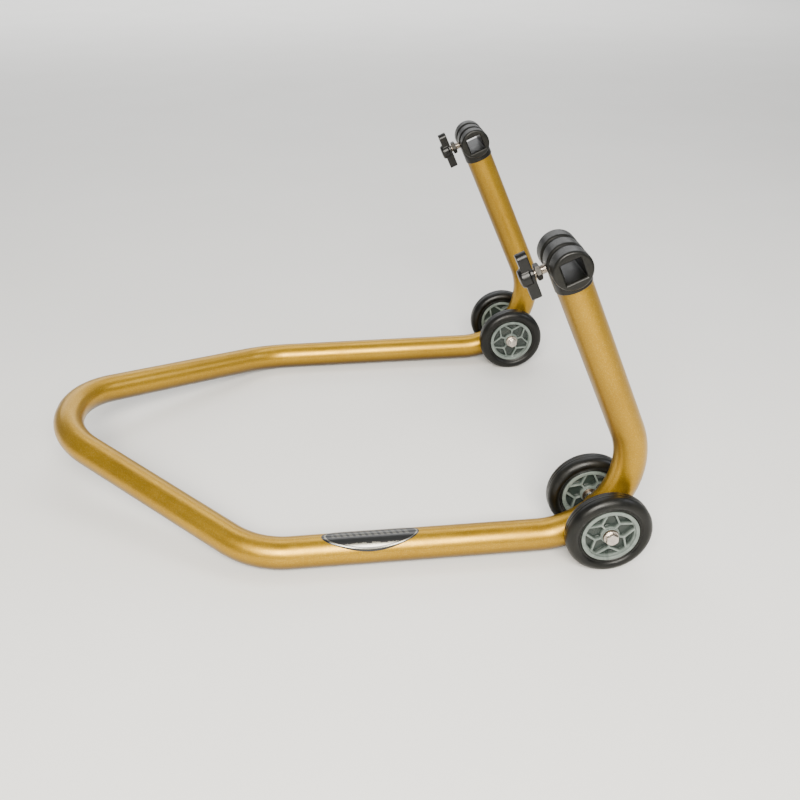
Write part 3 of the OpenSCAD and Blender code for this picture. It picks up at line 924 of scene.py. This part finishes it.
def makeWheels():
    for joint in frame["joints"]:
        if not joint["name"].endswith("_wheel_spin"):
            continue
        body = joint["name"].replace("_spin", "")
        node = body.replace("_wheel", "")
        side = sides[body.split("_")[0]]
        place = frameMatrix(joint["pos_m"], (0, side, 0), (0, 0, -side))
        tyre = bmesh.new()
        revolveInto(tyre, tyreOutline(), wheelForm["around"])
        outward(tyre)
        hub, raised = hubShape()
        for shape, part, material, slot, sharp in (
            (tyre, "tyre", rubber, "tyre_rubber", 50), (hub, "hub", hubNylon, "hub_nylon", 32),
        ):
            shape.transform(place)
            mesh = meshFromBmesh(f"{node}_{part}_look", shape)
            if part == "hub":
                mesh.attributes.new("raised", "FLOAT", "POINT").data.foreach_set("value", raised)
            pieceFromMesh(mesh.name, mesh, material, body, [f"{node}_{part}"], sharp=sharp)
        keepNode(f"{node}_wheel_bushes", bronze)


headForm = {
    "barrelLength": 68 * mm, "barrelRadius": 20.5 * mm, "rings": 3, "grooveWidth": 5 * mm,
    "grooveDepth": 2.5 * mm, "ringEdge": 3 * mm, "socket": 21 * mm, "mouthBevel": 1.6 * mm,
    "collarRadius": 20 * mm, "collarDrop": 30 * mm, "collarLip": 0.8 * mm,
    "spigotRadius": 16.2 * mm, "spigotLength": 34 * mm, "spigotWall": 3 * mm,
    "padBore": 13.6 * mm, "insertBore": 14 * mm, "insertStart": 14.1 * mm,
    "voxel": 0.5 * mm, "keep": 0.42,
}

screwForm = {
    "studDiameter": 9.9 * mm, "padFace": 10.8 * mm, "padThickness": 3 * mm,
    "pitch": 1.5 * mm, "threadDepth": 0.75 * mm,
    "nutFlats": 16 * mm, "nutAt": 28.8 * mm, "nutThickness": 5.5 * mm,
    "knobAt": 33.5 * mm, "knobThickness": 11 * mm, "knobLength": 53 * mm, "wingWidth": 13 * mm,
    "hubDiameter": 20 * mm, "bossThickness": 4 * mm, "stepDown": 3 * mm, "seat": 9 * mm,
    "voxel": 0.42 * mm, "keep": 0.5,
}


def headPlace(side):
    top = sideCorners(side)[0]
    return frameMatrix(top + upAlongUpright * headForm["collarDrop"], upAlongUpright, (0, 1, 0))


def clampPlace(side):
    # Local Z runs out along the screw and local X up along the upright
    outwards = -Vector((math.cos(leanAngle), 0, math.sin(leanAngle)))
    return frameMatrix(headPlace(side).translation, outwards, (0, 1, 0))


def cylinderInto(shape, radius, low, high, segments=96, upperRadius=None):
    bmesh.ops.create_cone(
        shape, cap_ends=True, segments=segments, radius1=radius,
        radius2=radius if upperRadius is None else upperRadius, depth=high - low,
        matrix=Matrix.Translation((0, 0, (low + high) / 2)),
    )


def blockInto(shape, size, centre=(0, 0, 0)):
    bmesh.ops.create_cube(
        shape, size=1.0, matrix=Matrix.Translation(centre) @ Matrix.Diagonal((*size, 1)),
    )


def fusedMesh(name, added, removed, voxel, smoothing, keep):
    # Joins solids, cuts others away, and softens every edge the way a mould does
    base = holderFor(meshFromBmesh(name, added[0]))
    tools = []
    for operation, shapes in (("UNION", added[1:]), ("DIFFERENCE", removed)):
        for shape in shapes:
            tool = holderFor(meshFromBmesh(f"{name}Tool", shape))
            tools.append(tool)
            step = base.modifiers.new("step", "BOOLEAN")
            step.operation = operation
            step.solver = "EXACT"
            step.object = tool
    remesh = base.modifiers.new("grid", "REMESH")
    remesh.mode = "VOXEL"
    remesh.voxel_size = voxel
    remesh.adaptivity = 0.0
    soften = base.modifiers.new("soften", "SMOOTH")
    soften.factor = 0.5
    soften.iterations = smoothing
    thin = base.modifiers.new("thin", "DECIMATE")
    thin.ratio = keep
    mesh = bakedMesh(base, name)
    for tool in tools:
        bpy.data.objects.remove(tool)
    smoothAll(mesh)
    return mesh


def barrelOutline():
    radius, edge, depth = headForm["barrelRadius"], headForm["ringEdge"], headForm["grooveDepth"]
    rings, gap = headForm["rings"], headForm["grooveWidth"]
    width = (headForm["barrelLength"] - (rings - 1) * gap) / rings
    points = []
    for i in range(rings):
        low = -headForm["barrelLength"] / 2 + i * (width + gap)
        points += arc((radius - edge, low + edge), edge, -90 if i == 0 else -70, 0, 8)
        points += arc((radius - edge, low + width - edge), edge, 0, 90 if i == rings - 1 else 70, 8)
        if i < rings - 1:
            points += [(radius - depth, low + width + 0.35 * gap), (radius - depth, low + width + 0.65 * gap)]
    return [(0, -headForm["barrelLength"] / 2)] + points + [(0, headForm["barrelLength"] / 2)]


def headMesh():
    turned = Matrix.Rotation(math.radians(90), 4, "X")
    barrel = bmesh.new()
    revolveInto(barrel, barrelOutline(), 128, closed=False)
    barrel.transform(turned)
    collar = bmesh.new()
    lip, low = headForm["collarLip"], -headForm["collarDrop"]
    revolveInto(collar, [
        (0, low), (headForm["collarRadius"] - lip, low), (headForm["collarRadius"], low + lip),
        (headForm["collarRadius"], -2 * mm), (0, -2 * mm),
    ], 128, closed=False)
    spigot = bmesh.new()
    cylinderInto(spigot, headForm["spigotRadius"], low - headForm["spigotLength"], low + 2 * mm)
    socket = bmesh.new()
    size, length = headForm["socket"], headForm["barrelLength"]
    blockInto(socket, (size, length + 4 * mm, size))
    mouths = bmesh.new()
    half = size / math.sqrt(2)
    for turn in (-90, 90):
        flared = bmesh.new()
        cylinderInto(
            flared, half, length / 2 - headForm["mouthBevel"], length / 2 + 1 * mm, 4,
            half + (headForm["mouthBevel"] + 1 * mm) * math.sqrt(2),
        )
        squared = Matrix.Rotation(math.radians(45), 4, "Z")
        flared.transform(Matrix.Rotation(math.radians(turn), 4, "X") @ squared)
        mesh = meshFromBmesh("mouth", flared)
        mouths.from_mesh(mesh)
    hollow = bmesh.new()
    cylinderInto(hollow, headForm["spigotRadius"] - headForm["spigotWall"],
                 low - headForm["spigotLength"] - 1 * mm, low + 5 * mm)
    toScrew = Matrix.Rotation(math.radians(-90), 4, "Y")
    insert, pad = bmesh.new(), bmesh.new()
    cylinderInto(insert, headForm["insertBore"] / 2, headForm["insertStart"], 2 * headForm["barrelRadius"])
    cylinderInto(pad, headForm["padBore"] / 2, 0, headForm["insertStart"] + 1 * mm)
    for tool in (insert, pad):
        tool.transform(toScrew)
    for shape in (barrel, collar, spigot, socket, mouths, hollow, insert, pad):
        outward(shape)
    return fusedMesh(
        "headLook", [barrel, collar, spigot], [socket, mouths, hollow, insert, pad],
        headForm["voxel"], 3, headForm["keep"],
    )


def knobMesh():
    form = screwForm
    reach = (form["knobLength"] - form["wingWidth"]) / 2
    thick = form["knobThickness"]
    hub, boss, wings = bmesh.new(), bmesh.new(), bmesh.new()
    dome = 1.2 * mm
    revolveInto(hub, [
        (0, form["bossThickness"]), (form["hubDiameter"] / 2, form["bossThickness"]),
        (form["hubDiameter"] / 2, form["bossThickness"] + thick - 2 * dome),
        (form["hubDiameter"] / 2 - dome, form["bossThickness"] + thick - 0.5 * dome),
        (form["hubDiameter"] / 2 - 3 * dome, form["bossThickness"] + thick),
        (0, form["bossThickness"] + thick),
    ], 96, closed=False)
    cylinderInto(boss, (form["hubDiameter"] - form["stepDown"]) / 2, 0, form["bossThickness"] + 1 * mm)
    blockInto(wings, (2 * reach, form["wingWidth"], thick), (0, 0, thick / 2))
    ends = []
    for s in (-1, 1):
        end = bmesh.new()
        cylinderInto(end, form["wingWidth"] / 2, 0, thick)
        end.transform(Matrix.Translation((s * reach, 0, 0)))
        ends.append(end)
    bore = bmesh.new()
    cylinderInto(bore, form["studDiameter"] / 2, -1 * mm, form["seat"])
    for shape in [hub, boss, wings, bore] + ends:
        outward(shape)
    return fusedMesh("knobLook", [hub, boss, wings] + ends, [bore], form["voxel"], 16, form["keep"])


def makeHeads():
    headLook, knobLook = headMesh(), knobMesh()
    form = screwForm
    for name, side in sides.items():
        head = headLook.copy()
        head.transform(headPlace(side))
        pieceFromMesh(
            f"{name}_head_look", head, headNylon, "stand", [f"{name}_head"], sharp=180)
        place = clampPlace(side)
        knob = knobLook.copy()
        knob.transform(place @ Matrix.Translation((0, 0, form["knobAt"])))
        screw = f"{name}_screw"
        pieceFromMesh(
            f"{name}_knob_look", knob, knobPlastic, screw, [f"{name}_clamp_knob"], sharp=180)
        stud, nut = bmesh.new(), bmesh.new()
        start, end = form["padFace"] + form["padThickness"], form["knobAt"] + form["seat"]
        threadedRod(
            stud, form["studDiameter"] / 2, start, end, form["pitch"], form["threadDepth"], start, end, 56)
        hexagonInto(
            nut, form["nutFlats"], form["nutAt"] - form["nutThickness"] / 2,
            form["nutAt"] + form["nutThickness"] / 2, form["studDiameter"] / 2)
        for shape, node, material, slot in (
            (stud, "clamp_stud", zinc, "zinc_steel"), (nut, "jam_nut", blackSteel, "black_steel"),
        ):
            shape.transform(place)
            outward(shape)
            mesh = meshFromBmesh(f"{name}_{node}_look", shape)
            pieceFromMesh(mesh.name, mesh, material, screw, [f"{name}_{node}"], sharp=25)
        keepNode(f"{name}_clamp_pad", brass)


badgeForm = {
    "length": 114 * mm, "width": 35 * mm, "behindAxle": 266 * mm, "thickness": 0.35 * mm,
    "rings": 14, "around": 180,
    "ink": "0d0d0c", "foil": "9a978d", "foilShade": "6b685e",
}


def badgeFoil():
    # Printed foil under a clear film: black ink, a bright border line, a band and slanted strokes
    material, tree, place = newMaterial("printedBadgeFoil")

    def attribute(name):
        return addNode(tree, "ShaderNodeAttribute", {"attribute_name": name}).outputs["Fac"]

    def calculate(operation, first, second=0.0, third=0.0):
        return addNode(tree, "ShaderNodeMath", {"operation": operation}, {
            0: first, 1: second, 2: third,
        }).outputs["Value"]

    along, around, out = attribute("along"), attribute("around"), attribute("outwards")
    line = calculate("COMPARE", out, 0.93, 0.018)
    inside = calculate("LESS_THAN", out, 0.86)
    leaning = calculate("MULTIPLY_ADD", around, 0.13, along)
    stroke = calculate("GREATER_THAN", calculate("FRACT", calculate("MULTIPLY", leaning, 8.0)), 0.42)
    band = calculate("COMPARE", around, 0.08, 0.26)
    strokes = calculate("MULTIPLY", calculate("MULTIPLY", stroke, band), calculate("LESS_THAN", out, 0.8))
    worn = noise(tree, place, 240.0, 4.0)
    fading = calculate("MULTIPLY_ADD", worn, 0.4, -0.86)
    lower = calculate("MULTIPLY", calculate("LESS_THAN", around, fading), inside)
    printed = calculate("MAXIMUM", calculate("MAXIMUM", line, calculate("MULTIPLY", strokes, 0.3)), lower)
    speckle = noise(tree, place, 700.0, 3.0)
    brushed = mixed(tree, speckle, badgeForm["foil"], badgeForm["foilShade"])
    colour = mixed(tree, printed, badgeForm["ink"], brushed)
    waves = noise(tree, place, 90.0)
    bump = bumped(tree, waves, 0.2, 0.00015)
    shader = addNode(tree, "ShaderNodeBsdfPrincipled", inputs={
        "Base Color": colour, "Metallic": printed, "Roughness": 0.3,
        "Coat Weight": 0.5, "Coat Roughness": 0.12, "Normal": bump,
    })
    finishMaterial(tree, shader)
    return material


def makeBadge():
    # An oval laid over the top of the right rail, its edge rolled down onto the paint
    corner, foot = sideCorners(sides["right"])[2], sideCorners(sides["right"])[1]
    rail = (foot - corner).normalized()
    centre = corner + rail * ((axleX - badgeForm["behindAxle"] - corner.x) / rail.x)
    place = frameMatrix(centre, (0, 0, 1), Vector((0, 0, 1)).cross(rail))
    shape = bmesh.new()
    rings, around = badgeForm["rings"], badgeForm["around"]
    values = []

    def layer(lift):
        loops = []
        for i in range(rings + 1):
            out = i / rings
            loop = []
            for k in range(around if i else 1):
                angle = 2 * math.pi * k / around
                x = badgeForm["length"] / 2 * out * math.cos(angle)
                y = badgeForm["width"] / 2 * out * math.sin(angle)
                radius = tubeRadius + lift(out)
                loop.append(shape.verts.new((x, y, math.sqrt(radius ** 2 - y ** 2))))
                values.append((out * math.cos(angle), out * math.sin(angle), out))
            loops.append(loop)
        for low, high in zip(loops, loops[1:]):
            joinRings(shape, high, low)
        return loops[-1]

    thick = badgeForm["thickness"]
    upper = layer(lambda out: thick * (1 - max(0.0, (out - 0.93) / 0.07) ** 2) + 0.05 * mm)
    lower = layer(lambda out: -0.1 * mm)
    joinRings(shape, lower, upper, smooth=False)
    shape.transform(place)
    outward(shape)
    mesh = meshFromBmesh("railBadgeLook", shape)
    for index, name in enumerate(("along", "around", "outwards")):
        data = mesh.attributes.new(name, "FLOAT", "POINT").data
        data.foreach_set("value", [value[index] for value in values])
    pieceFromMesh("railBadgeLook", mesh, badgeFoil(), "stand", ["rail_badge"], sharp=60)


makeWheels()
print("wheels are made")
makeHeads()
print("heads and clamp screws are made")
makeBadge()
print("badge is made")
